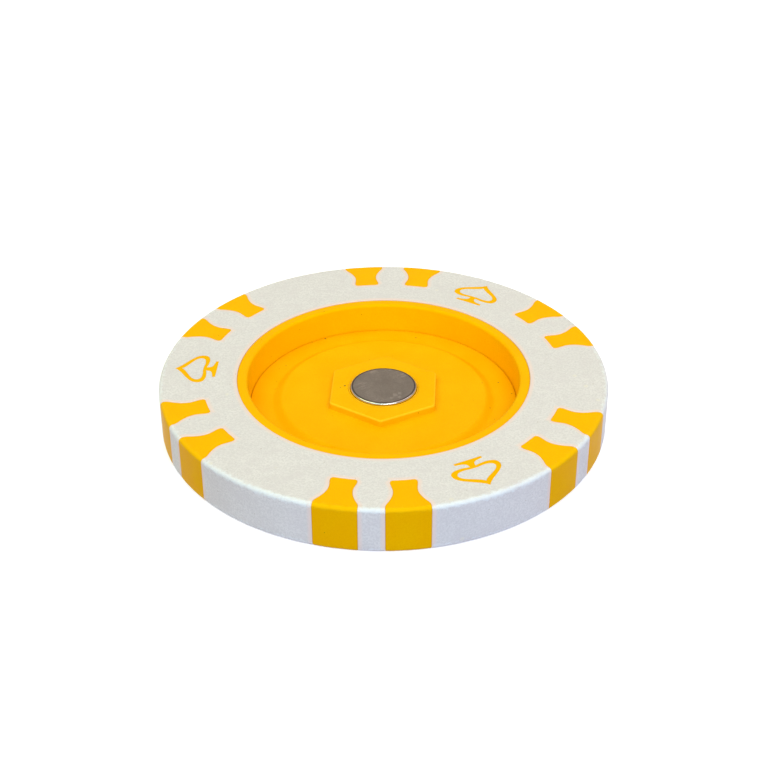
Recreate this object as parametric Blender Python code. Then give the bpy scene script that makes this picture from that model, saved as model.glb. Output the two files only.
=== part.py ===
"""A 40 mm two-colour table button with a magnetic marker recess, as five separate pieces.

The button is moulded in two shots. The first shot is the yellow core: a ring round the recess, with
spokes at mid-height that carry the edge spots and, as raised lines, the suit pips. The second shot is
the white rim, which flows over and under the spokes and locks the two together. A yellow floor disc is pressed in
from below against a shoulder in the ring, and its hexagonal boss holds a disc magnet in adhesive.

Frame: the origin is the centre of the underside, on the surface that the button rests on, and +Z
points up out of the recess. A pair of edge spots is centred 30 degrees from +X, and two flats of the
hexagonal boss face +X and -X.
"""

import math

import bmesh
import bpy
from mathutils import Matrix, Vector

MM = 0.001

# The whole button
RADIUS = 20.0 * MM
THICKNESS = 4.3 * MM
EDGE_ROUND = 0.32 * MM
GAP = 0.05 * MM
CIRCLE_STEPS = 72
ROUND_STEPS = 2

# The ring round the recess
RING_OUTER_RADIUS = 13.1 * MM
RING_FACE_DROP = 0.05 * MM
RECESS_LIP_RADIUS = 12.15 * MM
RECESS_FOOT_RADIUS = 12.05 * MM
RECESS_DEPTH = 2.75 * MM
LIP_ROUND = 0.28 * MM

# The floor disc and its seat in the ring
SEAT_RADIUS = 12.5 * MM
SEAT_HEIGHT = 1.05 * MM
UNDERSIDE_RECESS = 0.3 * MM
PLATEAU_RADIUS = 9.1 * MM
PLATEAU_SLOPE = 1.0 * MM
PLATEAU_DEPTH = 2.25 * MM
BOSS_DEPTH = 1.54 * MM
BOSS_FLATS = 9.14 * MM
BOSS_FOOT_FLATS = 9.42 * MM
BOSS_EDGE = 0.12 * MM
BOSS_SUNK = 0.3 * MM

# The magnet, its pocket and the adhesive round it
MAGNET_DIAMETER = 6.0 * MM
MAGNET_THICKNESS = 2.0 * MM
MAGNET_EDGE = 0.12 * MM
MAGNET_PROUD = 0.2 * MM
ADHESIVE_THICKNESS = 0.12 * MM
ADHESIVE_TOP_DROP = 0.02 * MM
POCKET_STEPS = 36

# The pattern in the rim
PAIR_COUNT = 6
FIRST_PAIR_ANGLE = math.radians(30.0)
SPOT_OFFSET_ANGLE = math.radians(8.53)
PIP_COUNT = 3
FIRST_PIP_ANGLE = math.radians(60.0)

# An edge spot: how far from its middle line its side is, at each radius. It is waisted like a
# bottle, and runs out through the side of the button.
SPOT_INNER_RADIUS = 16.1 * MM
SPOT_SIDE = (
    (16.12 * MM, 0.92 * MM),
    (16.35 * MM, 1.13 * MM),
    (16.90 * MM, 1.07 * MM),
    (17.45 * MM, 1.00 * MM),
    (18.10 * MM, 1.11 * MM),
    (18.80 * MM, 1.43 * MM),
    (19.40 * MM, 1.80 * MM),
    (20.00 * MM, 1.87 * MM),
)
SPOT_OUTER_RADIUS = 21.0 * MM
SPOT_OUTER_HALF = 1.90 * MM

# A suit pip: a spade outline that points outward, with an open middle that the white rim fills. One
# side of the spade is its foot and then three Bezier curves, each given as a start, two handles and
# an end, all as (radius, half width).
PIP_FOOT = (15.0 * MM, 1.30 * MM)
PIP_CURVES = (
    ((15.25 * MM, 1.30 * MM), (15.35 * MM, 0.30 * MM), (15.35 * MM, 0.30 * MM), (15.95 * MM, 0.28 * MM)),
    ((15.95 * MM, 0.28 * MM), (15.35 * MM, 1.05 * MM), (15.70 * MM, 2.25 * MM), (16.50 * MM, 2.25 * MM)),
    ((16.50 * MM, 2.25 * MM), (17.45 * MM, 2.25 * MM), (17.95 * MM, 0.50 * MM), (18.80 * MM, 0.00 * MM)),
)
PIP_OPENING_CENTRE = 16.85 * MM
PIP_OPENING_LENGTH_SHARE = 0.66
PIP_OPENING_WIDTH_SHARE = 0.78
PIP_DEPTH = 1.8 * MM
CURVE_STEPS = 4

# The spokes that join the ring to the spots and the pips
SPOKE_MIDDLE = THICKNESS / 2
SPOKE_HEIGHT = 1.3 * MM
SPOKE_WIDTH = 1.6 * MM
SPOKE_INNER_RADIUS = 12.8 * MM
SPOT_SPOKE_OUTER_RADIUS = 16.8 * MM
PIP_SPOKE_OUTER_RADIUS = 18.3 * MM
CUTTER_REACH = 1.0 * MM


def clear_scene():
    for thing in list(bpy.data.objects):
        bpy.data.objects.remove(thing, do_unlink=True)


def make_material(name, colour, roughness, metallic=0.0):
    material = bpy.data.materials.new(name)
    material.use_nodes = True
    shader = material.node_tree.nodes["Principled BSDF"]
    shader.inputs["Base Color"].default_value = (*colour, 1.0)
    shader.inputs["Roughness"].default_value = roughness
    shader.inputs["Metallic"].default_value = metallic
    return material


def add_object(name, shape, material=None):
    """Turns a bmesh into an object with its faces pointing out, shaded smooth between its edges."""
    bmesh.ops.recalc_face_normals(shape, faces=shape.faces)
    mesh = bpy.data.meshes.new(name)
    shape.to_mesh(mesh)
    shape.free()
    mesh.shade_smooth()
    mesh.set_sharp_from_angle(angle=math.radians(30.0))
    piece = bpy.data.objects.new(name, mesh)
    bpy.context.collection.objects.link(piece)
    if material is not None:
        mesh.materials.append(material)
    return piece


def add_helper(name, shape):
    """A shape that only cuts or joins other pieces."""
    helper = add_object(name, shape)
    helper.hide_render = True
    helper.display_type = "WIRE"
    return helper


def combine(piece, other, operation):
    modifier = piece.modifiers.new(f"{operation.lower()}_{other.name}", "BOOLEAN")
    modifier.operation = operation
    modifier.solver = "EXACT"
    modifier.object = other


def circle_points(shape, radius, height, steps):
    angles = [2 * math.pi * step / steps for step in range(steps)]
    return [shape.verts.new((radius * math.cos(a), radius * math.sin(a), height)) for a in angles]


def join_circles(shape, low, high):
    count = len(low)
    for step in range(count):
        after = (step + 1) % count
        shape.faces.new((low[step], low[after], high[after], high[step]))


def turned_disc(profile, steps=CIRCLE_STEPS):
    """A solid of revolution. The profile of (radius, height) runs from the underside to the top."""
    shape = bmesh.new()
    circles = [circle_points(shape, radius, height, steps) for radius, height in profile]
    for low, high in zip(circles, circles[1:]):
        join_circles(shape, low, high)
    shape.faces.new(circles[0])
    shape.faces.new(circles[-1])
    return shape


def turned_ring(profile, steps=CIRCLE_STEPS):
    """A ring whose section is the closed profile of (radius, height)."""
    shape = bmesh.new()
    circles = [circle_points(shape, radius, height, steps) for radius, height in profile]
    for low, high in zip(circles, circles[1:] + circles[:1]):
        join_circles(shape, low, high)
    return shape


def quarter_round(radius, height, size, start_degrees, steps=ROUND_STEPS):
    """Points along a quarter circle about the centre (radius, height), turning anticlockwise."""
    points = []
    for step in range(steps + 1):
        angle = math.radians(start_degrees + 90.0 * step / steps)
        points.append((radius + size * math.cos(angle), height + size * math.sin(angle)))
    return points


def bezier(start, handle_a, handle_b, end):
    """Points along a Bezier curve, without its start."""
    result = []
    for step in range(1, CURVE_STEPS + 1):
        t = step / CURVE_STEPS
        weights = ((1 - t) ** 3, 3 * t * (1 - t) ** 2, 3 * t**2 * (1 - t), t**3)
        corners = zip(start, handle_a, handle_b, end)
        result.append(tuple(sum(w * v for w, v in zip(weights, axis)) for axis in corners))
    return result


def spot_side():
    """One side of a spot from its inner end outward, as (radius, half width)."""
    inner_end = (SPOT_INNER_RADIUS, SPOT_SIDE[0][1])
    outer_end = (SPOT_OUTER_RADIUS, SPOT_OUTER_HALF)
    return [inner_end, *SPOT_SIDE, outer_end]


def pip_side():
    """One side of the spade from its foot to its tip, as (radius, half width)."""
    stem, low_lobe, high_lobe = PIP_CURVES
    return [PIP_FOOT, stem[0]] + bezier(*stem) + bezier(*low_lobe) + bezier(*high_lobe)


def pip_opening_side():
    """One side of the spade's open middle: its two lobes, drawn in towards their centre."""
    _, low_lobe, high_lobe = PIP_CURVES
    side = []
    for radius, half in bezier(*low_lobe) + bezier(*high_lobe):
        reach = PIP_OPENING_LENGTH_SHARE * (radius - PIP_OPENING_CENTRE)
        side.append((PIP_OPENING_CENTRE + reach, PIP_OPENING_WIDTH_SHARE * half))
    return side


def grown(side, grow):
    """The side of an outline moved outward by grow, square to itself."""
    moved = []
    for index, (radius, half) in enumerate(side):
        before = side[max(index - 1, 0)]
        after = side[min(index + 1, len(side) - 1)]
        along = (after[0] - before[0], after[1] - before[1])
        length = math.hypot(*along)
        moved.append((radius - grow * along[1] / length, half + grow * along[0] / length))
    return moved


def mirrored_outline(side):
    """A closed outline about the +X line, from one side of it."""
    right = [(radius, -half) for radius, half in side]
    left = [(radius, half) for radius, half in reversed(side) if half > 0.0]
    return right + left


def spot_outline(grow):
    side = grown(spot_side(), grow)
    side[0] = (SPOT_INNER_RADIUS - grow, side[0][1])
    return mirrored_outline(side)


def pip_outline(grow):
    side = grown(pip_side(), grow)
    side[0] = (PIP_FOOT[0] - grow, PIP_FOOT[1] + grow)
    side[-1] = (pip_side()[-1][0] + 2 * grow, 0.0)
    return mirrored_outline(side)


def pip_opening_outline(grow):
    side = grown(pip_opening_side(), grow)
    side[-1] = (pip_opening_side()[-1][0] + 2 * grow, 0.0)
    return mirrored_outline(side)


def spoke_outline(outer_radius, grow):
    half = SPOKE_WIDTH / 2 + grow
    return mirrored_outline([(SPOKE_INNER_RADIUS, half), (outer_radius, half)])


def add_prism(shape, outline, low, high, angle):
    """Adds an upright prism to a bmesh, its outline turned by angle about the button's axis."""
    turn = Matrix.Rotation(angle, 4, "Z")
    bottom = [shape.verts.new(turn @ Vector((x, y, low))) for x, y in outline]
    top = [shape.verts.new(turn @ Vector((x, y, high))) for x, y in outline]
    join_circles(shape, bottom, top)
    shape.faces.new(list(reversed(bottom)))
    shape.faces.new(top)


def spot_angles():
    angles = []
    for pair in range(PAIR_COUNT):
        middle = FIRST_PAIR_ANGLE + 2 * math.pi * pair / PAIR_COUNT
        angles += [middle - SPOT_OFFSET_ANGLE, middle + SPOT_OFFSET_ANGLE]
    return angles


def pip_angles():
    return [FIRST_PIP_ANGLE + 2 * math.pi * pip / PIP_COUNT for pip in range(PIP_COUNT)]


def spots_shape(grow):
    """Every edge spot, taller and wider than the button."""
    shape = bmesh.new()
    for angle in spot_angles():
        add_prism(shape, spot_outline(grow), -CUTTER_REACH, THICKNESS + CUTTER_REACH, angle)
    return shape


def pips_shape(outline, grow, reach):
    """A prism for every pip, from each face of the button down to the spokes and up by reach."""
    shape = bmesh.new()
    depth = PIP_DEPTH + grow
    for angle in pip_angles():
        add_prism(shape, outline, -reach, depth, angle)
        add_prism(shape, outline, THICKNESS - depth, THICKNESS + reach, angle)
    return shape


def add_pips(name, grow, reach):
    """The raised lines of the pips: spades with their middles cut out."""
    pips = add_helper(name, pips_shape(pip_outline(grow), grow, reach))
    openings = pips_shape(pip_opening_outline(-grow), CUTTER_REACH / 2, reach + CUTTER_REACH)
    combine(pips, add_helper(f"{name}_openings", openings), "DIFFERENCE")
    return pips


def spokes_shape(grow):
    """A spoke to every spot and pip, at mid-height."""
    shape = bmesh.new()
    low = SPOKE_MIDDLE - SPOKE_HEIGHT / 2 - grow
    high = SPOKE_MIDDLE + SPOKE_HEIGHT / 2 + grow
    for angle in spot_angles():
        add_prism(shape, spoke_outline(SPOT_SPOKE_OUTER_RADIUS, grow), low, high, angle)
    for angle in pip_angles():
        add_prism(shape, spoke_outline(PIP_SPOKE_OUTER_RADIUS, grow), low, high, angle)
    return shape


def outer_profile():
    """The outer side of the button with its rounded edges, from the underside to the top."""
    centre = RADIUS - EDGE_ROUND
    lower = quarter_round(centre, EDGE_ROUND, EDGE_ROUND, -90.0)
    upper = quarter_round(centre, THICKNESS - EDGE_ROUND, EDGE_ROUND, 0.0)
    return lower + upper


def make_white_rim(material):
    inner = RING_OUTER_RADIUS + GAP
    profile = [(inner, 0.0)] + outer_profile() + [(inner, THICKNESS)]
    rim = add_object("white_rim", turned_ring(profile), material)
    combine(rim, add_helper("spot_cutter", spots_shape(GAP)), "DIFFERENCE")
    combine(rim, add_helper("spoke_cutter", spokes_shape(GAP)), "DIFFERENCE")
    combine(rim, add_pips("pip_cutter", GAP, CUTTER_REACH), "DIFFERENCE")
    return rim


def make_yellow_core(material):
    face = THICKNESS - RING_FACE_DROP
    lip = quarter_round(RECESS_LIP_RADIUS + LIP_ROUND, face - LIP_ROUND, LIP_ROUND, 90.0)
    profile = [(RING_OUTER_RADIUS, RING_FACE_DROP), (RING_OUTER_RADIUS, face)]
    profile += lip
    profile += [(RECESS_FOOT_RADIUS, THICKNESS - RECESS_DEPTH), (RECESS_FOOT_RADIUS, SEAT_HEIGHT)]
    profile += [(SEAT_RADIUS, SEAT_HEIGHT), (SEAT_RADIUS, RING_FACE_DROP)]
    core = add_object("yellow_core", turned_ring(profile), material)

    spots = add_helper("spots", spots_shape(0.0))
    combine(spots, add_helper("button_outline", turned_disc(outer_profile())), "INTERSECT")
    combine(core, add_helper("spokes", spokes_shape(0.0)), "UNION")
    combine(core, spots, "UNION")
    combine(core, add_pips("pips", 0.0, 0.0), "UNION")
    return core


def hexagon_points(shape, across_flats, height):
    corner_radius = across_flats / 2 / math.cos(math.pi / 6)
    angles = [math.radians(30.0 + 60.0 * corner) for corner in range(6)]
    return [
        shape.verts.new((corner_radius * math.cos(a), corner_radius * math.sin(a), height))
        for a in angles
    ]


def boss_shape():
    """The hexagonal boss, sunk into the plateau below its foot, with a small chamfer on top."""
    shape = bmesh.new()
    top = THICKNESS - BOSS_DEPTH
    foot = THICKNESS - PLATEAU_DEPTH
    layers = [
        hexagon_points(shape, BOSS_FOOT_FLATS, foot - BOSS_SUNK),
        hexagon_points(shape, BOSS_FOOT_FLATS, foot),
        hexagon_points(shape, BOSS_FLATS + 2 * BOSS_EDGE, top - BOSS_EDGE),
        hexagon_points(shape, BOSS_FLATS, top),
    ]
    for low, high in zip(layers, layers[1:]):
        join_circles(shape, low, high)
    shape.faces.new(layers[0])
    shape.faces.new(layers[-1])
    return shape


def pocket_radius():
    return MAGNET_DIAMETER / 2 + ADHESIVE_THICKNESS + 2 * GAP


def magnet_top():
    return THICKNESS - BOSS_DEPTH + MAGNET_PROUD


def pocket_floor():
    return magnet_top() - MAGNET_THICKNESS - ADHESIVE_THICKNESS - 2 * GAP


def make_floor_disc(material):
    flange = SEAT_RADIUS - GAP
    body = RECESS_FOOT_RADIUS - GAP
    shoulder = SEAT_HEIGHT - GAP
    trough = THICKNESS - RECESS_DEPTH
    profile = [
        (flange, UNDERSIDE_RECESS),
        (flange, shoulder),
        (body, shoulder),
        (body, trough),
        (PLATEAU_RADIUS + PLATEAU_SLOPE, trough),
        (PLATEAU_RADIUS, THICKNESS - PLATEAU_DEPTH),
    ]
    disc = add_object("floor_disc", turned_disc(profile), material)
    combine(disc, add_helper("hexagonal_boss", boss_shape()), "UNION")
    pocket = [(pocket_radius(), pocket_floor()), (pocket_radius(), THICKNESS)]
    combine(disc, add_helper("pocket_cutter", turned_disc(pocket, POCKET_STEPS)), "DIFFERENCE")
    return disc


def make_disc_magnet(material):
    radius = MAGNET_DIAMETER / 2
    top = magnet_top()
    bottom = top - MAGNET_THICKNESS
    centre = radius - MAGNET_EDGE
    profile = quarter_round(centre, bottom + MAGNET_EDGE, MAGNET_EDGE, -90.0, steps=2)
    profile += quarter_round(centre, top - MAGNET_EDGE, MAGNET_EDGE, 0.0, steps=2)
    return add_object("disc_magnet", turned_disc(profile, POCKET_STEPS), material)


def make_magnet_adhesive(material):
    """A cup of set adhesive, under the magnet and round its side."""
    outer = pocket_radius() - GAP
    inner = outer - ADHESIVE_THICKNESS
    bottom = pocket_floor() + GAP
    rim = THICKNESS - BOSS_DEPTH - ADHESIVE_TOP_DROP
    profile = [(outer, bottom), (outer, rim), (inner, rim), (inner, bottom + ADHESIVE_THICKNESS)]
    return add_object("magnet_adhesive", turned_disc(profile, POCKET_STEPS), material)


def main():
    clear_scene()
    white_plastic = make_material("white_plastic", (0.80, 0.78, 0.72), 0.45)
    yellow_core_plastic = make_material("yellow_core_plastic", (1.0, 0.52, 0.0), 0.42)
    yellow_floor_plastic = make_material("yellow_floor_plastic", (1.0, 0.52, 0.0), 0.45)
    nickel = make_material("nickel_plate", (0.55, 0.52, 0.48), 0.35, metallic=1.0)
    adhesive = make_material("set_adhesive", (0.95, 0.55, 0.08), 0.15)
    make_white_rim(white_plastic)
    make_yellow_core(yellow_core_plastic)
    make_floor_disc(yellow_floor_plastic)
    make_disc_magnet(nickel)
    make_magnet_adhesive(adhesive)


main()
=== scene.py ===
"""Looks for the dealer button: fine moulded surfaces, procedural materials, studio light and camera.

Every piece here is a fine version of one CAD node, in the same place and to the same size. The rim
and the edge spots come from one grid of points that is bent to follow the outlines of the spots, so
the white and the yellow meet exactly and each has a small rounded edge along the joint.
"""

import math

import bmesh
import bpy
import numpy as np
from mathutils import Matrix, Vector, noise
from mathutils.geometry import delaunay_2d_cdt


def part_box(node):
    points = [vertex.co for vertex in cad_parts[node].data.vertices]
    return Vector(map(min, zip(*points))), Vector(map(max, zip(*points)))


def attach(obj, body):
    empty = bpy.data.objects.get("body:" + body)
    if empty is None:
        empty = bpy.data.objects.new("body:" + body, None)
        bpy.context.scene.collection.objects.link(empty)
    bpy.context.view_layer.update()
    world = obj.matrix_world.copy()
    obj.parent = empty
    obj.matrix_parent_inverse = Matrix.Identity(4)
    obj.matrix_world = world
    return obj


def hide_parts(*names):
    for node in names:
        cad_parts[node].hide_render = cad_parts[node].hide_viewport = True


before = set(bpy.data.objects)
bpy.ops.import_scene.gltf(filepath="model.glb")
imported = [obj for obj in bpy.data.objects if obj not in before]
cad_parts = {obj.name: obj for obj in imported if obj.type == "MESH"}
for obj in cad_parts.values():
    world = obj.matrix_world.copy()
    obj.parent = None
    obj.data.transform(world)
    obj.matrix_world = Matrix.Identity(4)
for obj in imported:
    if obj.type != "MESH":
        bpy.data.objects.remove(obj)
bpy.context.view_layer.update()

MM = 0.001

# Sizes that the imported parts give
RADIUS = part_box("white_rim")[1].x
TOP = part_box("white_rim")[1].z
MAGNET_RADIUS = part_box("disc_magnet")[1].x
MAGNET_BOTTOM, MAGNET_TOP = (corner.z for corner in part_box("disc_magnet"))
ADHESIVE_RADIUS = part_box("magnet_adhesive")[1].x
ADHESIVE_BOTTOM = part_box("magnet_adhesive")[0].z
ADHESIVE_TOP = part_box("magnet_adhesive")[1].z
FLOOR_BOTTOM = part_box("floor_disc")[0].z
SEAT_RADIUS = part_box("floor_disc")[1].x
BOSS_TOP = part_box("floor_disc")[1].z

# Sizes that repeat the design's own
GAP = 0.05 * MM
EDGE_ROUND = 0.32 * MM
RING_OUTER_RADIUS = 13.1 * MM
RING_FACE_DROP = 0.05 * MM
RECESS_LIP_RADIUS = 12.15 * MM
RECESS_FOOT_RADIUS = 12.05 * MM
RECESS_DEPTH = 2.75 * MM
LIP_ROUND = 0.28 * MM
SEAT_HEIGHT = 1.05 * MM
PLATEAU_RADIUS = 9.1 * MM
PLATEAU_SLOPE = 1.0 * MM
PLATEAU_DEPTH = 2.25 * MM

# The boss: its wall's flats, and the roundings that its top edge, corners and foot have
BOSS_FLATS = 9.38 * MM
BOSS_FOOT_FLATS = 9.42 * MM
BOSS_ROUND = 0.17 * MM
BOSS_CORNER = 0.4 * MM
BOSS_FILLET = 0.1 * MM

# The spots and pips
PAIR_COUNT = 6
FIRST_PAIR_ANGLE = math.radians(30.0)
SPOT_OFFSET_ANGLE = math.radians(8.53)
SPOT_INNER_RADIUS = 16.1 * MM
SPOT_SIDE = (
    (16.10 * MM, 0.86 * MM),
    (16.14 * MM, 0.98 * MM),
    (16.22 * MM, 1.07 * MM),
    (16.35 * MM, 1.12 * MM),
    (16.55 * MM, 1.13 * MM),
    (16.90 * MM, 1.07 * MM),
    (17.45 * MM, 1.00 * MM),
    (18.10 * MM, 1.11 * MM),
    (18.80 * MM, 1.43 * MM),
    (19.40 * MM, 1.79 * MM),
    (20.00 * MM, 1.87 * MM),
)
FIRST_PIP_ANGLE = math.radians(60.0)
PIP_COUNT = 3
PIP_FOOT = (15.0 * MM, 1.30 * MM)
PIP_CURVES = (
    ((15.25 * MM, 1.30 * MM), (15.38 * MM, 0.42 * MM), (15.45 * MM, 0.30 * MM), (15.95 * MM, 0.28 * MM)),
    ((15.95 * MM, 0.28 * MM), (15.75 * MM, 1.00 * MM), (15.65 * MM, 2.25 * MM), (16.50 * MM, 2.25 * MM)),
    ((16.50 * MM, 2.25 * MM), (17.45 * MM, 2.25 * MM), (17.95 * MM, 0.50 * MM), (18.80 * MM, 0.00 * MM)),
)
PIP_OPENING_CENTRE = 16.85 * MM
PIP_OPENING_LENGTH_SHARE = 0.66
PIP_OPENING_WIDTH_SHARE = 0.78
PIP_DEPTH = 1.8 * MM

# Specks of dirt on the floor disc, as (x, y, radius) in millimetres
FLOOR_MARKS = (
    (-3.5, 0.1, 0.08),
    (-3.9, -0.2, 0.05),
    (8.9, 2.2, 0.05),
    (10.4, 3.1, 0.06),
    (9.6, -1.4, 0.05),
    (11.6, 1.3, 0.05),
    (-9.4, 5.2, 0.04),
    (2.6, 10.7, 0.05),
    (-6.1, 10.15, 0.09),
)

# Scuffs on the magnet's face, in the same way
MAGNET_SCUFFS = (
    (1.1, -1.5, 0.24),
    (1.5, -1.2, 0.18),
    (1.5, -1.8, 0.16),
    (0.8, -2.0, 0.14),
)

# Fine shapes that the CAD leaves out
EDGE_WEAR = 0.012 * MM
EDGE_RUB = 0.006 * MM
PIP_LINE_DROP = 0.012 * MM
SEAM_EDGE = 0.06 * MM
SEAT_CHAMFER = 0.12 * MM
POCKET_GAP = 0.012 * MM
POCKET_EDGE = 0.04 * MM
MAGNET_EDGE = 0.17 * MM
ADHESIVE_GAP = 0.04 * MM
ADHESIVE_SAG = 0.05 * MM
ADHESIVE_STEPS = 8

# How finely the surfaces are drawn
JOINT = 0.006 * MM
SOFT_EDGE = 0.07 * MM
SOFT_EDGE_DROP = 0.022 * MM
EDGE_STEPS = (0.0, 0.015 * MM, 0.04 * MM, 0.07 * MM, 0.15 * MM)
ROUND_STEPS = 8
SIDE_STEPS = 5
SPOT_MIDDLE_COLUMNS = 7
NARROW_COLUMNS = 7
WIDE_COLUMNS = 31
CURVE_STEPS = 14
TURN_STEPS = 360
PLATEAU_STEPS = 14
BEND_ANGLES = [math.radians(18.0 * step) for step in range(6)]
MAGNET_STEPS = 180
WINDOW_SHARES = (0.2, 0.8)
WINDOW_RADII = (14.7 * MM, 19.1 * MM)
WELD = 0.0002 * MM


# ---------------------------------------------------------------- mesh building


class Skin:
    """Collects points and faces, and turns them into one object."""

    def __init__(self):
        self.points = []
        self.faces = []

    def add_points(self, points):
        start = len(self.points)
        self.points.extend(tuple(float(v) for v in p) for p in points)
        return list(range(start, len(self.points)))

    def add_grid(self, rows, keep=None, closed=True):
        """Quads between rows of points. keep(row, column) says which quads are wanted."""
        ids = [self.add_points(row) for row in rows]
        columns = len(ids[0])
        for i in range(len(ids) - 1):
            for j in range(columns if closed else columns - 1):
                if keep is None or keep(i, j):
                    after = (j + 1) % columns
                    self.faces.append((ids[i][j], ids[i][after], ids[i + 1][after], ids[i + 1][j]))
        return ids

    def add_strip(self, low, high, closed=True):
        """Quads between two lines of points that match one to one."""
        self.add_grid([low, high], closed=closed)

    def add_face(self, points):
        self.faces.append(tuple(self.add_points(points)))

    def build(self, name, sharp_degrees=40.0):
        mesh = bpy.data.meshes.new(name)
        mesh.from_pydata(self.points, [], self.faces)
        shape = bmesh.new()
        shape.from_mesh(mesh)
        bmesh.ops.remove_doubles(shape, verts=shape.verts, dist=WELD)
        bmesh.ops.dissolve_degenerate(shape, edges=shape.edges, dist=WELD)
        loose = [v for v in shape.verts if not v.link_faces]
        bmesh.ops.delete(shape, geom=loose, context="VERTS")
        bmesh.ops.recalc_face_normals(shape, faces=shape.faces)
        shape.to_mesh(mesh)
        shape.free()
        mesh.shade_smooth()
        mesh.set_sharp_from_angle(angle=math.radians(sharp_degrees))
        piece = bpy.data.objects.new(name, mesh)
        bpy.context.collection.objects.link(piece)
        return piece


def turned(profile, steps=TURN_STEPS):
    """Rows of points of a turned shape, one row for each (radius, height) of the profile."""
    angles = [2 * math.pi * step / steps for step in range(steps)]
    return [[(r * math.cos(a), r * math.sin(a), z) for a in angles] for r, z in profile]


def quarter_round(radius, height, size, start_degrees, steps=ROUND_STEPS):
    """Points along a quarter circle about the centre (radius, height), turning anticlockwise."""
    points = []
    for step in range(steps + 1):
        angle = math.radians(start_degrees + 90.0 * step / steps)
        points.append((radius + size * math.cos(angle), height + size * math.sin(angle)))
    return points


def smooth_step(value):
    value = min(max(value, 0.0), 1.0)
    return value * value * (3 - 2 * value)


def flipped(points):
    """The same points on the other face of the button."""
    return [(x, y, TOP - z) for x, y, z in points]


# ---------------------------------------------------------------- the rim pattern


def spot_half_width(radius):
    """Half the width of an edge spot at a radius, as a smooth curve through SPOT_SIDE."""
    radii = [r for r, _ in SPOT_SIDE]
    halves = [h for _, h in SPOT_SIDE]
    radius = min(max(radius, radii[0]), radii[-1])
    slopes = np.gradient(halves, radii)
    index = min(int(np.searchsorted(radii, radius, side="right")) - 1, len(radii) - 2)
    span = radii[index + 1] - radii[index]
    t = (radius - radii[index]) / span
    start = halves[index] * (1 + 2 * t) * (1 - t) ** 2 + slopes[index] * span * t * (1 - t) ** 2
    end = halves[index + 1] * t * t * (3 - 2 * t) + slopes[index + 1] * span * t * t * (t - 1)
    return start + end


def spot_angles():
    angles = []
    for pair in range(PAIR_COUNT):
        middle = FIRST_PAIR_ANGLE + 2 * math.pi * pair / PAIR_COUNT
        angles += [middle - SPOT_OFFSET_ANGLE, middle + SPOT_OFFSET_ANGLE]
    return angles


def pip_angles():
    return [FIRST_PIP_ANGLE + 2 * math.pi * pip / PIP_COUNT for pip in range(PIP_COUNT)]


def rim_rows():
    """(radius, height, normal radius, normal height) down the top half of the rim, from the ring out."""
    rows = []
    near_ring = [RING_OUTER_RADIUS + step for step in EDGE_STEPS]
    plain = list(np.linspace(RING_OUTER_RADIUS + 0.4 * MM, WINDOW_RADII[0], 4))
    plain += list(np.linspace(WINDOW_RADII[0], SPOT_INNER_RADIUS - 0.3 * MM, 4))[1:]
    before_spot = [SPOT_INNER_RADIUS - step for step in reversed(EDGE_STEPS)]
    in_spot = [SPOT_INNER_RADIUS + step for step in EDGE_STEPS[1:]]
    flat_end = RADIUS - EDGE_ROUND
    outward = list(np.linspace(SPOT_INNER_RADIUS + 0.25 * MM, WINDOW_RADII[1], 15))
    outward += list(np.linspace(WINDOW_RADII[1], flat_end, 4))[1:]
    for radius in near_ring + plain + before_spot + in_spot + outward:
        rows.append((radius, TOP, 0.0, 1.0))
    for step in range(1, ROUND_STEPS + 1):
        angle = math.radians(90.0 * (1 - step / ROUND_STEPS))
        across, up = math.cos(angle), math.sin(angle)
        rows.append((flat_end + EDGE_ROUND * across, TOP - EDGE_ROUND + EDGE_ROUND * up, across, up))
    for height in np.linspace(TOP - EDGE_ROUND, TOP / 2, SIDE_STEPS + 1)[1:]:
        rows.append((RADIUS, height, 1.0, 0.0))
    return rows


def rim_columns():
    """(kind, first spot angle, offset rule, second spot angle, share) for each column, once round."""
    columns = []
    spots = spot_angles()
    for index, spot in enumerate(spots):
        for step in EDGE_STEPS:
            columns.append(("spot", spot, -1, step))
        for share in np.linspace(-1, 1, SPOT_MIDDLE_COLUMNS + 2)[1:-1]:
            columns.append(("spot_middle", spot, share, EDGE_STEPS[-1]))
        for step in reversed(EDGE_STEPS):
            columns.append(("spot", spot, 1, step))
        after = spots[(index + 1) % len(spots)]
        if after < spot:
            after += 2 * math.pi
        count = NARROW_COLUMNS if index % 2 == 0 else WIDE_COLUMNS
        for step in EDGE_STEPS[1:]:
            columns.append(("white", spot, 1, step))
        for share in np.linspace(0, 1, count + 2)[1:-1]:
            columns.append(("white_middle", spot, after, share))
        for step in reversed(EDGE_STEPS[1:]):
            columns.append(("white", after, -1, step))
    return columns


def column_angle(column, radius, joint):
    """The angle of a grid column at a radius. joint moves the outline of the spots outward."""
    kind = column[0]
    half = spot_half_width(radius) + joint
    if kind == "spot":
        _, spot, side, step = column
        return spot + side * math.asin((half - step) / radius)
    if kind == "spot_middle":
        _, spot, share, step = column
        return spot + math.asin(share * (half - step) / radius)
    if kind == "white":
        _, spot, side, step = column
        return spot + side * math.asin((half + step) / radius)
    _, spot, after, share = column
    reach = math.asin((half + EDGE_STEPS[-1]) / radius)
    return (spot + reach) * (1 - share) + (after - reach) * share


def distance_to_joint(column, radius):
    """How far a grid point is from the nearest joint between white and yellow."""
    kind = column[0]
    to_ring = radius - RING_OUTER_RADIUS
    inward = SPOT_INNER_RADIUS - radius
    if kind == "white_middle":
        beside = EDGE_STEPS[-1]
    elif kind == "spot_middle":
        beside = EDGE_STEPS[-1]
    else:
        beside = column[3]
    if kind.startswith("white"):
        to_spot = math.hypot(max(inward, 0.0), beside)
    elif inward >= 0:
        to_spot = inward
    else:
        to_spot = min(-inward, beside)
    return min(to_ring, to_spot)


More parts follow.
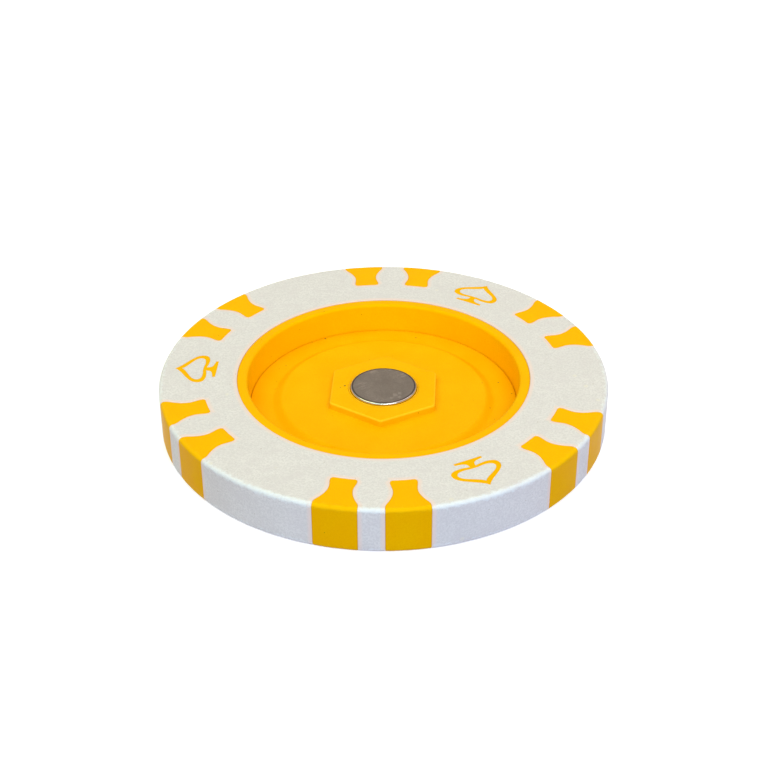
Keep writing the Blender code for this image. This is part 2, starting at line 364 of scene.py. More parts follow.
def edge_drop(distance):
    """How far the surface falls beside a joint, so that the joint shows as a fine soft groove."""
    if distance >= SOFT_EDGE:
        return 0.0
    return SOFT_EDGE_DROP * (1 - distance / SOFT_EDGE) ** 2


def wear(x, y, z, depth):
    """A small unevenness of the moulded and handled edge, in metres."""
    coarse = noise.noise(Vector((x, y, z)) / (1.9 * MM))
    fine = noise.noise(Vector((y, z, x)) / (0.45 * MM))
    return depth * (0.6 * coarse + 0.4 * fine)


def grid_points(joint):
    """The top half of the rim and spots, as rows of points once round the button."""
    columns = rim_columns()
    grid = []
    for radius, height, out, up in rim_rows():
        row = []
        rounding = 4 * out * up
        for column in columns:
            angle = column_angle(column, radius, joint)
            drop = edge_drop(distance_to_joint(column, radius))
            x, y = radius * math.cos(angle), radius * math.sin(angle)
            drop += rounding * (wear(x, y, height, EDGE_WEAR) + EDGE_RUB)
            inner = radius - out * drop
            row.append((inner * math.cos(angle), inner * math.sin(angle), height - up * drop))
        grid.append(row)
    return grid, columns


def window_cells(columns, rows):
    """The columns and rows of the grid that each pip's window takes the place of."""
    first_row = next(i for i, row in enumerate(rows) if row[0] >= WINDOW_RADII[0] - WELD)
    last_row = next(i for i, row in enumerate(rows) if row[0] >= WINDOW_RADII[1] - WELD)
    windows = []
    for pip in pip_angles():
        inside = []
        for j, column in enumerate(columns):
            if column[0] != "white_middle":
                continue
            middle = (column[1] + column[2]) / 2
            turns = (middle - pip) / (2 * math.pi)
            if abs(turns - round(turns)) < 0.001 and WINDOW_SHARES[0] <= column[3] <= WINDOW_SHARES[1]:
                inside.append(j)
        windows.append((inside[0], inside[-1], first_row, last_row))
    return windows


def bezier(start, handle_a, handle_b, end):
    """Points along a Bezier curve, without its start."""
    result = []
    for step in range(1, CURVE_STEPS + 1):
        t = step / CURVE_STEPS
        weights = ((1 - t) ** 3, 3 * t * (1 - t) ** 2, 3 * t**2 * (1 - t), t**3)
        corners = zip(start, handle_a, handle_b, end)
        result.append(tuple(sum(w * v for w, v in zip(weights, axis)) for axis in corners))
    return result


def mirrored_outline(side):
    right = [(radius, -half) for radius, half in side]
    left = [(radius, half) for radius, half in reversed(side) if half > 0.0]
    return right + left


def pip_outline():
    stem, low_lobe, high_lobe = PIP_CURVES
    return mirrored_outline([PIP_FOOT, stem[0]] + bezier(*stem) + bezier(*low_lobe) + bezier(*high_lobe))


def pip_opening_outline():
    _, low_lobe, high_lobe = PIP_CURVES
    side = []
    for radius, half in bezier(*low_lobe) + bezier(*high_lobe):
        reach = PIP_OPENING_LENGTH_SHARE * (radius - PIP_OPENING_CENTRE)
        side.append((PIP_OPENING_CENTRE + reach, PIP_OPENING_WIDTH_SHARE * half))
    return mirrored_outline(side)


def moved_out(outline, distance):
    """An anticlockwise outline with every point moved outward, square to the line."""
    count = len(outline)
    moved = []
    for index, (x, y) in enumerate(outline):
        before, after = outline[index - 1], outline[(index + 1) % count]
        along = (after[0] - before[0], after[1] - before[1])
        length = math.hypot(*along)
        moved.append((x + distance * along[1] / length, y - distance * along[0] / length))
    return moved


def turned_about_axis(outline, angle):
    cosine, sine = math.cos(angle), math.sin(angle)
    return [(x * cosine - y * sine, x * sine + y * cosine) for x, y in outline]


def cut_flat(outlines):
    """Triangles of the area inside the first outline, sorted by how many outlines hold them."""
    points = [Vector(p) for outline in outlines for p in outline]
    loops = []
    start = 0
    for outline in outlines:
        loops.append(list(range(start, start + len(outline))))
        start += len(outline)
    corners, _, triangles, _, _, sources = delaunay_2d_cdt(points, [], loops, 1, WELD / 10)
    by_depth = {}
    for triangle, source in zip(triangles, sources):
        by_depth.setdefault(len(set(source)), []).append([tuple(corners[i]) for i in triangle])
    return by_depth


def raised(outline, height):
    return [(x, y, height) for x, y in outline]


# ---------------------------------------------------------------- the pieces


def add_side_wall(skin, line, spot_end):
    """The hidden wall under a line of top points, down to the same line on the other face.

    The points from index spot_end on run down the outer side, so one face takes them all."""
    across = flipped(line)
    for k in range(spot_end - 1):
        skin.add_face([line[k], line[k + 1], across[k + 1], across[k]])
    tail = list(range(spot_end - 1, len(line)))
    down = [line[k] for k in tail]
    back = [across[k] for k in reversed(tail[:-1])]
    skin.add_face(down + back)


def make_white_rim():
    grid, columns = grid_points(JOINT)
    rows = rim_rows()
    windows = window_cells(columns, rows)
    first_spot_row = next(i for i, row in enumerate(rows) if row[0] >= SPOT_INNER_RADIUS - WELD)
    first_side_row = next(i for i, row in enumerate(rows) if row[2] == 1.0)
    count = len(columns)

    def keep(i, j):
        after = columns[(j + 1) % count][0]
        under_spot = columns[j][0].startswith("spot") and after.startswith("spot")
        if under_spot and i >= first_spot_row:
            return False
        return not any(a <= j < b and top <= i < low for a, b, top, low in windows)

    skin = Skin()
    skin.add_grid(grid, keep)
    skin.add_grid([flipped(row) for row in grid], keep)
    skin.add_strip(grid[0], flipped(grid[0]))
    for j, column in enumerate(columns):
        if column[0] == "spot" and column[3] == 0.0:
            line = [grid[i][j] for i in range(first_spot_row, len(rows))]
            add_side_wall(skin, line, first_side_row - first_spot_row + 1)
        after = columns[(j + 1) % count]
        if column[0].startswith("spot") and after[0].startswith("spot"):
            ends = [grid[first_spot_row][j], grid[first_spot_row][(j + 1) % count]]
            skin.add_strip(ends, flipped(ends), closed=False)
    for (a, b, top, low), pip in zip(windows, pip_angles()):
        border = [grid[i][a] for i in range(top, low)]
        border += [grid[low][j] for j in range(a, b)]
        border += [grid[i][b] for i in range(low, top, -1)]
        border += [grid[top][j] for j in range(b, a, -1)]
        add_pip_slot(skin, [(x, y) for x, y, _ in border], pip)
    return skin.build("white_rim_surface")


def add_pip_slot(skin, border, pip):
    """The flat of the rim round one pip, and the slot that the pip's lines stand in."""
    outer = turned_about_axis(moved_out(pip_outline(), JOINT), pip)
    inner = turned_about_axis(moved_out(pip_opening_outline(), -JOINT), pip)
    parts = cut_flat([border, outer, inner])
    floor = TOP - PIP_DEPTH - JOINT
    for depth, height in ((1, TOP), (3, TOP), (2, floor)):
        for triangle in parts[depth]:
            face = raised(triangle, height)
            skin.add_face(face)
            skin.add_face(flipped(face))
    for outline in (outer, inner):
        wall = [raised(outline, TOP), raised(outline, floor)]
        skin.add_grid(wall)
        skin.add_grid([flipped(row) for row in wall])


def add_spots(skin):
    grid, columns = grid_points(-JOINT)
    rows = rim_rows()
    first_spot_row = next(i for i, row in enumerate(rows) if row[0] >= SPOT_INNER_RADIUS - WELD)
    first_side_row = next(i for i, row in enumerate(rows) if row[2] == 1.0)
    count = len(columns)

    def keep(i, j):
        after = columns[(j + 1) % count][0]
        return columns[j][0].startswith("spot") and after.startswith("spot")

    body = grid[first_spot_row:]
    skin.add_grid(body, keep)
    skin.add_grid([flipped(row) for row in body], keep)
    for j, column in enumerate(columns):
        if column[0] == "spot" and column[3] == 0.0:
            line = [row[j] for row in body]
            add_side_wall(skin, line, first_side_row - first_spot_row + 1)
        if keep(0, j):
            ends = [body[0][j], body[0][(j + 1) % count]]
            skin.add_strip(ends, flipped(ends), closed=False)


def add_pip_lines(skin):
    """The yellow lines of each pip, a hair below the white round them."""
    height = TOP - PIP_LINE_DROP
    for pip in pip_angles():
        outer = turned_about_axis(moved_out(pip_outline(), -JOINT), pip)
        inner = turned_about_axis(moved_out(pip_opening_outline(), JOINT), pip)
        for triangle in cut_flat([outer, inner])[1]:
            for level in (height, TOP - PIP_DEPTH):
                face = raised(triangle, level)
                skin.add_face(face)
                skin.add_face(flipped(face))
        for outline in (outer, inner):
            wall = [raised(outline, height), raised(outline, TOP - PIP_DEPTH)]
            skin.add_grid(wall)
            skin.add_grid([flipped(row) for row in wall])


def ring_profile():
    """The closed section of the ring round the recess, as (radius, height)."""
    face = TOP - RING_FACE_DROP
    outer = RING_OUTER_RADIUS - JOINT
    top_edge = [(outer, face - SOFT_EDGE)]
    top_edge += quarter_round(outer - SOFT_EDGE, face - SOFT_EDGE, SOFT_EDGE, 0.0, steps=4)[1:]
    width = outer - RECESS_LIP_RADIUS
    crown = [(RECESS_LIP_RADIUS + share * width, face) for share in (0.75, 0.5, 0.3)]
    lip_centre = (RECESS_LIP_RADIUS + LIP_ROUND, face - LIP_ROUND)
    lip = quarter_round(*lip_centre, LIP_ROUND, 90.0)
    trough = TOP - RECESS_DEPTH
    wall_top = lip[-1]
    wall = []
    for share in (0.25, 0.5, 0.75, 0.93):
        radius = wall_top[0] + share * (RECESS_FOOT_RADIUS - wall_top[0])
        wall.append((radius, wall_top[1] + share * (trough - wall_top[1])))
    foot = [(RECESS_FOOT_RADIUS, trough), (RECESS_FOOT_RADIUS, SEAT_HEIGHT)]
    seat_wall = SEAT_RADIUS + GAP
    chamfer = 0.1 * MM
    seat = [(seat_wall, SEAT_HEIGHT), (seat_wall, RING_FACE_DROP + chamfer)]
    seat += [(seat_wall + chamfer, RING_FACE_DROP)]
    under = [(outer - SOFT_EDGE, RING_FACE_DROP), (outer, RING_FACE_DROP + SOFT_EDGE)]
    return top_edge + crown + lip + wall + foot + seat + under


def make_yellow_core():
    skin = Skin()
    section = turned(ring_profile())
    skin.add_grid(section + section[:1])
    add_spots(skin)
    add_pip_lines(skin)
    return skin.build("yellow_core_surface")


def hexagon_radius(angle, across_flats, corner_round):
    """The distance from the axis to a hexagon with rounded corners, in the direction of an angle."""
    half = across_flats / 2
    from_flat = (angle + math.pi / 6) % (math.pi / 3) - math.pi / 6
    arc_centre = (half - corner_round) / math.cos(math.pi / 6)
    tangent = math.atan2(arc_centre * math.sin(math.pi / 6), half)
    if abs(from_flat) <= tangent:
        return half / math.cos(from_flat)
    from_corner = math.pi / 6 - abs(from_flat)
    across = arc_centre * math.sin(from_corner)
    return arc_centre * math.cos(from_corner) + math.sqrt(corner_round**2 - across**2)


def floor_rows():
    """Rows of (radius function, height) over the floor disc, from under its middle to its pocket."""
    trough = TOP - RECESS_DEPTH
    plateau = TOP - PLATEAU_DEPTH
    body = RECESS_FOOT_RADIUS - GAP
    edge = SEAM_EDGE
    rows = []

    def circle(radius, height):
        rows.append((lambda angle: radius, height))

    def hexagon(across_flats, corner_round, height, share=1.0, inner=0.0):
        def reach(angle):
            return share * hexagon_radius(angle, across_flats, corner_round) + (1 - share) * inner

        rows.append((reach, height))

    for radius in (0.0, 4.0 * MM, 8.0 * MM, SEAT_RADIUS - SEAT_CHAMFER):
        circle(radius, FLOOR_BOTTOM)
    circle(SEAT_RADIUS, FLOOR_BOTTOM + SEAT_CHAMFER)
    circle(SEAT_RADIUS, SEAT_HEIGHT - GAP)
    circle(body, SEAT_HEIGHT - GAP)
    for radius, height in quarter_round(body - edge, trough - edge, edge, 0.0, steps=4):
        circle(radius, height)
    slope_out = PLATEAU_RADIUS + PLATEAU_SLOPE
    for share in (0.15, 0.35, 0.6, 0.85):
        circle(body - edge - share * (body - edge - slope_out), trough)
    for step in range(PLATEAU_STEPS + 1):
        share = step / PLATEAU_STEPS
        circle(slope_out - share * PLATEAU_SLOPE, trough + smooth_step(share) * (plateau - trough))
    for radius in (8.6 * MM, 8.0 * MM, 7.3 * MM, 6.6 * MM, 6.1 * MM):
        circle(radius, plateau)
    for angle in BEND_ANGLES:
        grow = BOSS_FILLET * (1 - math.sin(angle))
        lift = BOSS_FILLET * (1 - math.cos(angle))
        hexagon(BOSS_FOOT_FLATS + 2 * grow, BOSS_CORNER, plateau + lift)
    for angle in BEND_ANGLES:
        shrink = BOSS_ROUND * (1 - math.cos(angle))
        lift = BOSS_ROUND * math.sin(angle)
        hexagon(BOSS_FLATS - 2 * shrink, BOSS_CORNER, BOSS_TOP - BOSS_ROUND + lift)
    pocket = ADHESIVE_RADIUS + POCKET_GAP
    inner_flats = BOSS_FLATS - 2 * BOSS_ROUND - 0.02 * MM
    for share in (0.98, 0.75, 0.5, 0.25):
        hexagon(inner_flats, BOSS_CORNER, BOSS_TOP, share, pocket + 0.1 * MM)
    mouth = (pocket + POCKET_EDGE, BOSS_TOP - POCKET_EDGE)
    for radius, height in quarter_round(*mouth, POCKET_EDGE, 90.0, steps=4):
        circle(radius, height)
    circle(pocket, ADHESIVE_BOTTOM - GAP)
    circle(0.0, ADHESIVE_BOTTOM - GAP)
    return rows


def make_floor_disc():
    steps = 2 * TURN_STEPS
    angles = [2 * math.pi * step / steps for step in range(steps)]
    rows = []
    for reach, height in floor_rows():
        rows.append([(reach(a) * math.cos(a), reach(a) * math.sin(a), height) for a in angles])
    skin = Skin()
    skin.add_grid(rows)
    return skin.build("floor_disc_surface")


def make_magnet():
    edge = MAGNET_EDGE
    centre = MAGNET_RADIUS - edge
    profile = [(0.0, MAGNET_BOTTOM)]
    profile += quarter_round(centre, MAGNET_BOTTOM + edge, edge, -90.0, steps=6)
    profile += quarter_round(centre, MAGNET_TOP - edge, edge, 0.0, steps=6)
    profile += [(centre - 0.05 * MM, MAGNET_TOP), (0.5 * centre, MAGNET_TOP), (0.0, MAGNET_TOP)]
    skin = Skin()
    skin.add_grid(turned(profile, MAGNET_STEPS))
    return skin.build("disc_magnet_surface")


def make_adhesive():
    """The set adhesive: a cup whose top is drawn up a little against the magnet and the boss."""
    inner = MAGNET_RADIUS + ADHESIVE_GAP
    thickness = ADHESIVE_RADIUS - inner
    profile = [(0.0, ADHESIVE_BOTTOM), (ADHESIVE_RADIUS, ADHESIVE_BOTTOM)]
    for step in range(ADHESIVE_STEPS + 1):
        share = step / ADHESIVE_STEPS
        sag = ADHESIVE_SAG * math.sin(math.pi * share)
        profile.append((ADHESIVE_RADIUS - share * thickness, ADHESIVE_TOP - sag))
    profile += [(inner, MAGNET_BOTTOM - ADHESIVE_GAP), (0.0, MAGNET_BOTTOM - ADHESIVE_GAP)]
    skin = Skin()
    skin.add_grid(turned(profile, MAGNET_STEPS))
    return skin.build("magnet_adhesive_surface")


# ---------------------------------------------------------------- materials


class Nodes:
    """A short way to write a material's node tree."""

    def __init__(self, name):
        self.material = bpy.data.materials.new(name)
        self.material.use_nodes = True
        self.tree = self.material.node_tree
        self.tree.nodes.clear()
        self.shader = self.tree.nodes.new("ShaderNodeBsdfPrincipled")
        output = self.tree.nodes.new("ShaderNodeOutputMaterial")
        self.tree.links.new(self.shader.outputs[0], output.inputs["Surface"])
        self.place = self.tree.nodes.new("ShaderNodeTexCoord").outputs["Object"]
        self.flat = self.vector("MULTIPLY", self.place, (1.0, 1.0, 0.0))

    def feed(self, socket, value):
        if isinstance(value, bpy.types.NodeSocket):
            self.tree.links.new(value, socket)
        elif socket.type == "RGBA" and len(value) == 3:
            socket.default_value = (*value, 1.0)
        else:
            socket.default_value = value

    def set(self, **values):
        for name, value in values.items():
            self.feed(self.shader.inputs[name.replace("_", " ")], value)

    def math(self, operation, *values, clamp=False):
        node = self.tree.nodes.new("ShaderNodeMath")
        node.operation = operation
        node.use_clamp = clamp
        for socket, value in zip(node.inputs, values):
            self.feed(socket, value)
        return node.outputs[0]

    def vector(self, operation, *values):
        node = self.tree.nodes.new("ShaderNodeVectorMath")
        node.operation = operation
        for socket, value in zip(node.inputs, values):
            self.feed(socket, value)
        return node.outputs["Value" if operation in ("DISTANCE", "LENGTH") else "Vector"]

    def split(self, vector):
        node = self.tree.nodes.new("ShaderNodeSeparateXYZ")
        self.feed(node.inputs[0], vector)
        return node.outputs

    def stretch(self, scale, turn=(0.0, 0.0, 0.0)):
        """Places turned and then stretched, for grain that runs one way."""
        turned_place = self.tree.nodes.new("ShaderNodeMapping")
        turned_place.inputs["Rotation"].default_value = turn
        self.feed(turned_place.inputs["Vector"], self.place)
        node = self.tree.nodes.new("ShaderNodeMapping")
        node.inputs["Scale"].default_value = scale
        self.feed(node.inputs["Vector"], turned_place.outputs[0])
        return node.outputs[0]

    def noise(self, size, detail=2.0, roughness=0.5, vector=None):
        """Noise whose features are about size metres across, from 0 to 1."""
        node = self.tree.nodes.new("ShaderNodeTexNoise")
        self.feed(node.inputs["Vector"], vector or self.place)
        node.inputs["Scale"].default_value = 1.0 / size
        node.inputs["Detail"].default_value = detail
        node.inputs["Roughness"].default_value = roughness
        node.inputs["Distortion"].default_value = 0.0
        return node.outputs["Fac"]

    def cells(self, size):
        """Cells about size metres across, each with a distance from its centre and a colour of its own."""
        node = self.tree.nodes.new("ShaderNodeTexVoronoi")
        node.feature = "F1"
        self.feed(node.inputs["Vector"], self.place)
        node.inputs["Scale"].default_value = 1.0 / size
        return node.outputs

    def between(self, value, low, high, start=0.0, end=1.0):
        """value from low..high to start..end, held at the ends."""
        node = self.tree.nodes.new("ShaderNodeMapRange")
        node.interpolation_type = "SMOOTHSTEP"
        for socket, number in zip(node.inputs, (value, low, high, start, end)):
            self.feed(socket, number)
        return node.outputs[0]

    def mix(self, share, first, second, blend="MIX"):
        node = self.tree.nodes.new("ShaderNodeMix")
        node.data_type = "RGBA"
        node.blend_type = blend
        sockets = [s for s in node.inputs if s.type == "RGBA"]
        self.feed(node.inputs[0], share)
        self.feed(sockets[0], first)
        self.feed(sockets[1], second)
        return [s for s in node.outputs if s.type == "RGBA"][0]

    def bump(self, height, distance, strength=1.0, normal=None):
        node = self.tree.nodes.new("ShaderNodeBump")
        node.inputs["Strength"].default_value = strength
        node.inputs["Distance"].default_value = distance
        self.feed(node.inputs["Height"], height)
        if normal is not None:
            self.feed(node.inputs["Normal"], normal)
        return node.outputs[0]

    def curve(self, value, points):
        """value through a smooth curve given by (in, out) points between 0 and 1."""
        node = self.tree.nodes.new("ShaderNodeFloatCurve")
        line = node.mapping.curves[0]
        while len(line.points) < len(points):
            line.points.new(0.5, 0.5)
        for handle, place in zip(line.points, points):
            handle.location = place
        node.mapping.update()
        self.feed(node.inputs["Value"], value)
        return node.outputs[0]


def specks(nodes, size, share, softness=0.25):
    """Small separate spots: about share of the cells, each about size metres across, hold one."""
    cells = nodes.cells(size * 3.0)
    near = nodes.between(cells["Distance"], 0.17 * (1 + softness), 0.17, 0.0, 1.0)
    pick = nodes.between(nodes.split(cells["Color"])[0], 1.0 - share, 1.0 - share + 0.01)
    return nodes.math("MULTIPLY", near, pick)


def joint_distance(nodes):
    """How far a point is outside the nearest spot or the ring, in metres. It is negative inside them."""
    x, y, _ = nodes.split(nodes.place)
    squares = nodes.math("ADD", nodes.math("MULTIPLY", x, x), nodes.math("MULTIPLY", y, y))
    radius = nodes.math("SQRT", squares)
    angle = nodes.math("ARCTAN2", y, x)
    sector = 2 * math.pi / PAIR_COUNT
    from_pair = nodes.math("SUBTRACT", angle, FIRST_PAIR_ANGLE)
    in_sector = nodes.math("WRAP", from_pair, sector / 2, -sector / 2)
    from_spot = nodes.math("SUBTRACT", nodes.math("ABSOLUTE", in_sector), SPOT_OFFSET_ANGLE)
    across = nodes.math("ABSOLUTE", nodes.math("MULTIPLY", radius, nodes.math("SINE", from_spot)))
    span = RADIUS - SPOT_INNER_RADIUS
    share = nodes.math("DIVIDE", nodes.math("SUBTRACT", radius, SPOT_INNER_RADIUS), span, clamp=True)
    widest = 2.0 * MM
    outline = [((r - SPOT_INNER_RADIUS) / span, h / widest) for r, h in SPOT_SIDE]
    half = nodes.math("MULTIPLY", nodes.curve(share, outline), widest)
    beside = nodes.math("SUBTRACT", across, half)
    inward = nodes.math("SUBTRACT", SPOT_INNER_RADIUS, radius)
    to_spot = nodes.math("MAXIMUM", beside, inward)
    to_ring = nodes.math("SUBTRACT", radius, RING_OUTER_RADIUS)
    return nodes.math("MINIMUM", to_spot, to_ring)


def dabs(nodes, places):
    """Marks at given places: (x, y, radius) in millimetres, each with a soft uneven edge."""
    wobble = nodes.noise(0.12 * MM, detail=2.0)
    total = 0.0
    for x, y, radius in places:
        away = nodes.vector("DISTANCE", nodes.flat, (x * MM, y * MM, 0.0))
        reach = nodes.between(wobble, 0.3, 0.7, 0.6 * radius * MM, 1.3 * radius * MM)
        mark = nodes.math("LESS_THAN", away, reach)
        total = nodes.math("MAXIMUM", mark, total)
    return total


def painted_edge_highlight(nodes):
    """Where a painted highlight lightens the rounded outer edges, unevenly, from 0 to 1."""
    height = nodes.math("SUBTRACT", nodes.split(nodes.place)[2], TOP / 2)
    height = nodes.math("ABSOLUTE", height)
    ragged = nodes.noise(0.5 * MM, detail=4.0, roughness=0.75)
    wander = nodes.between(ragged, 0.3, 0.7, -0.22 * MM, 0.2 * MM)
    radius = nodes.math("ADD", nodes.vector("LENGTH", nodes.flat), wander)
    height = nodes.math("ADD", height, wander)
    out = nodes.between(radius, RADIUS - 0.45 * MM, RADIUS - 0.2 * MM)
    up = nodes.between(height, TOP / 2 - 0.5 * MM, TOP / 2 - 0.26 * MM)
    return nodes.math("MULTIPLY", out, up)


def white_plastic():
    nodes = Nodes("white_plastic_fine")
    patches = nodes.noise(3.5 * MM, detail=3.0)
    colour = nodes.mix(nodes.between(patches, 0.35, 0.7), (0.825, 0.787, 0.747), (0.785, 0.747, 0.71))
    grain = nodes.noise(0.17 * MM, detail=3.0, roughness=0.7)
    colour = nodes.mix(nodes.between(grain, 0.33, 0.66, 0.0, 0.95), colour, (0.69, 0.655, 0.62))
    clouds = nodes.noise(1.1 * MM, detail=2.0)
    colour = nodes.mix(nodes.between(clouds, 0.45, 0.72, 0.0, 0.5), colour, (0.715, 0.665, 0.64))
    joint = joint_distance(nodes)
    colour = nodes.mix(nodes.between(joint, 0.5 * MM, 0.15 * MM, 0.0, 0.95), colour, (0.86, 0.70, 0.615))
    # Painted shade: a fine darker line right along the joints with the yellow.
    colour = nodes.mix(nodes.between(joint, 0.04 * MM, 0.01 * MM, 0.0, 0.3), colour, (0.75, 0.50, 0.30))
    colour = nodes.mix(specks(nodes, 0.10 * MM, 0.02), colour, (0.56, 0.50, 0.43))
    stains = nodes.math("MULTIPLY", specks(nodes, 0.3 * MM, 0.04, 0.8), 0.4)
    colour = nodes.mix(stains, colour, (0.86, 0.80, 0.64))
    scuffs = nodes.noise(0.10 * MM, detail=2.0, vector=nodes.stretch((1.0, 0.25, 1.0), (0.0, 0.0, 0.7)))
    scuffs = nodes.between(scuffs, 0.62, 0.72, 0.0, 0.6)
    colour = nodes.mix(scuffs, colour, (0.90, 0.88, 0.83))
    # Painted highlight: the rounded outer edge is lightened, unevenly; the same mask also bumps it.
    edge = nodes.math("MULTIPLY", painted_edge_highlight(nodes), nodes.between(grain, 0.35, 0.6, 0.35, 1.0))
    colour = nodes.mix(nodes.math("MULTIPLY", edge, 0.75), colour, (0.90, 0.92, 0.90))
    bump = nodes.bump(grain, 0.02 * MM, 0.7)
    bump = nodes.bump(clouds, 0.03 * MM, 0.3, bump)
    bump = nodes.bump(edge, 0.02 * MM, 0.8, bump)
    nodes.set(Base_Color=colour, Roughness=nodes.between(patches, 0.3, 0.8, 0.42, 0.55), Normal=bump)
    nodes.shader.inputs["Specular IOR Level"].default_value = 0.5
    return nodes.material


def yellow_plastic(name, deep, light, roughness, marks=()):
    nodes = Nodes(name)
    patches = nodes.noise(2.6 * MM, detail=3.0)
    colour = nodes.mix(nodes.between(patches, 0.35, 0.7), deep, light)
    grain = nodes.noise(0.14 * MM, detail=3.0, roughness=0.6)
    colour = nodes.mix(nodes.between(grain, 0.35, 0.7, 0.0, 0.5), colour, (0.93, 0.43, 0.0))
    # Painted shade: the yellow is deepened to a darker orange along its joints with the white.
    joint = nodes.math("ABSOLUTE", joint_distance(nodes))
    colour = nodes.mix(nodes.between(joint, 0.12 * MM, 0.03 * MM, 0.0, 0.4), colour, (0.86, 0.37, 0.0))
    # Painted highlight: the rounded outer edge is lightened to a brighter yellow, unevenly; the same mask
    # also bumps it.
    edge = painted_edge_highlight(nodes)
    colour = nodes.mix(nodes.math("MULTIPLY", edge, 0.4), colour, (1.0, 0.55, 0.005))
    colour = nodes.mix(specks(nodes, 0.09 * MM, 0.012), colour, (0.50, 0.22, 0.0))
    if marks:
        colour = nodes.mix(dabs(nodes, marks), colour, (0.22, 0.10, 0.02))
        # Painted highlight: a lighter yellow line along the top edge of the boss.
        height = nodes.split(nodes.place)[2]
        rising = nodes.between(height, BOSS_TOP - BOSS_ROUND, BOSS_TOP - 0.7 * BOSS_ROUND)
        crest = nodes.math("MULTIPLY", rising, nodes.between(height, BOSS_TOP, BOSS_TOP - 0.1 * BOSS_ROUND))
        colour = nodes.mix(nodes.math("MULTIPLY", crest, 0.6), colour, (1.0, 0.63, 0.02))
    bump = nodes.bump(grain, 0.012 * MM, 0.6)
    bump = nodes.bump(nodes.noise(1.4 * MM, detail=1.0), 0.03 * MM, 0.25, bump)
    bump = nodes.bump(edge, 0.02 * MM, 0.8, bump)
    uneven = nodes.between(patches, 0.3, 0.8, roughness, roughness + 0.1)
    nodes.set(Base_Color=colour, Roughness=uneven, Normal=bump)
    nodes.shader.inputs["Specular IOR Level"].default_value = 0.045
    nodes.shader.inputs["Specular Tint"].default_value = (1.0, 0.6, 0.0, 1.0)
    return nodes.material


def nickel():
    nodes = Nodes("satin_nickel")
    patches = nodes.noise(1.6 * MM, detail=4.0, roughness=0.65)
    colour = nodes.mix(nodes.between(patches, 0.3, 0.7), (0.36, 0.325, 0.285), (0.46, 0.42, 0.37))
    mottle = nodes.noise(0.13 * MM, detail=3.0, roughness=0.7)
    colour = nodes.mix(nodes.between(mottle, 0.35, 0.7, 0.0, 0.7), colour, (0.31, 0.28, 0.24))
    scratches = nodes.noise(0.07 * MM, detail=1.0, vector=nodes.stretch((1.0, 0.05, 1.0), (0.0, 0.0, 0.9)))
    scratches = nodes.between(scratches, 0.58, 0.66)
    patch = nodes.between(nodes.noise(1.9 * MM, detail=0.0), 0.45, 0.6)
    scratches = nodes.math("MULTIPLY", scratches, patch)
    scratches = nodes.math("MAXIMUM", scratches, nodes.math("MULTIPLY", dabs(nodes, MAGNET_SCUFFS), 0.7))
    colour = nodes.mix(nodes.math("MULTIPLY", scratches, 0.6), colour, (0.66, 0.62, 0.56))
    radius = nodes.vector("LENGTH", nodes.flat)
    # Painted shade: a dark line on the face just inside the rounded rim.
    line = nodes.between(radius, MAGNET_RADIUS - 0.30 * MM, MAGNET_RADIUS - 0.22 * MM)
    colour = nodes.mix(nodes.math("MULTIPLY", line, 0.8), colour, (0.08, 0.07, 0.06))
    # Painted highlight: the rounded rim is lighter in colour, as well as smoother.
    rim = nodes.between(radius, MAGNET_RADIUS - 0.13 * MM, MAGNET_RADIUS - 0.08 * MM)
    colour = nodes.mix(rim, colour, (0.72, 0.70, 0.66))
    roughness = nodes.between(mottle, 0.3, 0.7, 0.30, 0.42)
    roughness = nodes.between(rim, 0.0, 1.0, roughness, 0.16)
    bump = nodes.bump(mottle, 0.008 * MM, 0.5)
    bump = nodes.bump(patches, 0.02 * MM, 0.25, bump)
    bump = nodes.bump(scratches, -0.003 * MM, 0.8, bump)
    nodes.set(Base_Color=colour, Metallic=1.0, Roughness=roughness, Normal=bump)
    return nodes.material


def adhesive():
    nodes = Nodes("amber_adhesive")
    streaks = nodes.noise(0.5 * MM, detail=2.0)
    colour = nodes.mix(nodes.between(streaks, 0.3, 0.7), (0.95, 0.46, 0.0), (1.0, 0.56, 0.01))
    nodes.set(Base_Color=colour, Roughness=0.2, Normal=nodes.bump(streaks, 0.02 * MM, 0.4))
    nodes.shader.inputs["Specular IOR Level"].default_value = 0.25
    nodes.shader.inputs["Specular Tint"].default_value = (1.0, 0.8, 0.2, 1.0)
    return nodes.material


def pale_floor():
    nodes = Nodes("pale_floor")
    colour = nodes.mix(nodes.noise(40.0 * MM, detail=2.0), (0.80, 0.80, 0.80), (0.82, 0.82, 0.82))
    nodes.set(Base_Color=colour, Roughness=0.9, Emission_Color=(1.0, 1.0, 1.0), Emission_Strength=0.5)
    nodes.shader.inputs["Specular IOR Level"].default_value = 0.0
    return nodes.material


# ---------------------------------------------------------------- the studio


STAGE_HALF = 1.5
STAGE_DROP = 0.01 * MM


def add_stage():
    half = STAGE_HALF
    corners = [(-half, -half, 0), (half, -half, 0), (half, half, 0), (-half, half, 0)]
    mesh = bpy.data.meshes.new("floor")
    mesh.from_pydata(corners, [], [(0, 1, 2, 3)])
    floor = bpy.data.objects.new("floor", mesh)
    floor.location.z = -STAGE_DROP
    bpy.context.collection.objects.link(floor)
    mesh.materials.append(pale_floor())
    floor.visible_diffuse = False


def add_area_light(name, place, target, size, power, colour):
    data = bpy.data.lights.new(name, "AREA")
    data.shape = "RECTANGLE"
    data.size, data.size_y = size
    data.energy = power
    data.color = colour
    light = bpy.data.objects.new(name, data)
    light.location = place
    light.rotation_euler = (Vector(target) - Vector(place)).to_track_quat("-Z", "Y").to_euler()
    bpy.context.collection.objects.link(light)
    return light


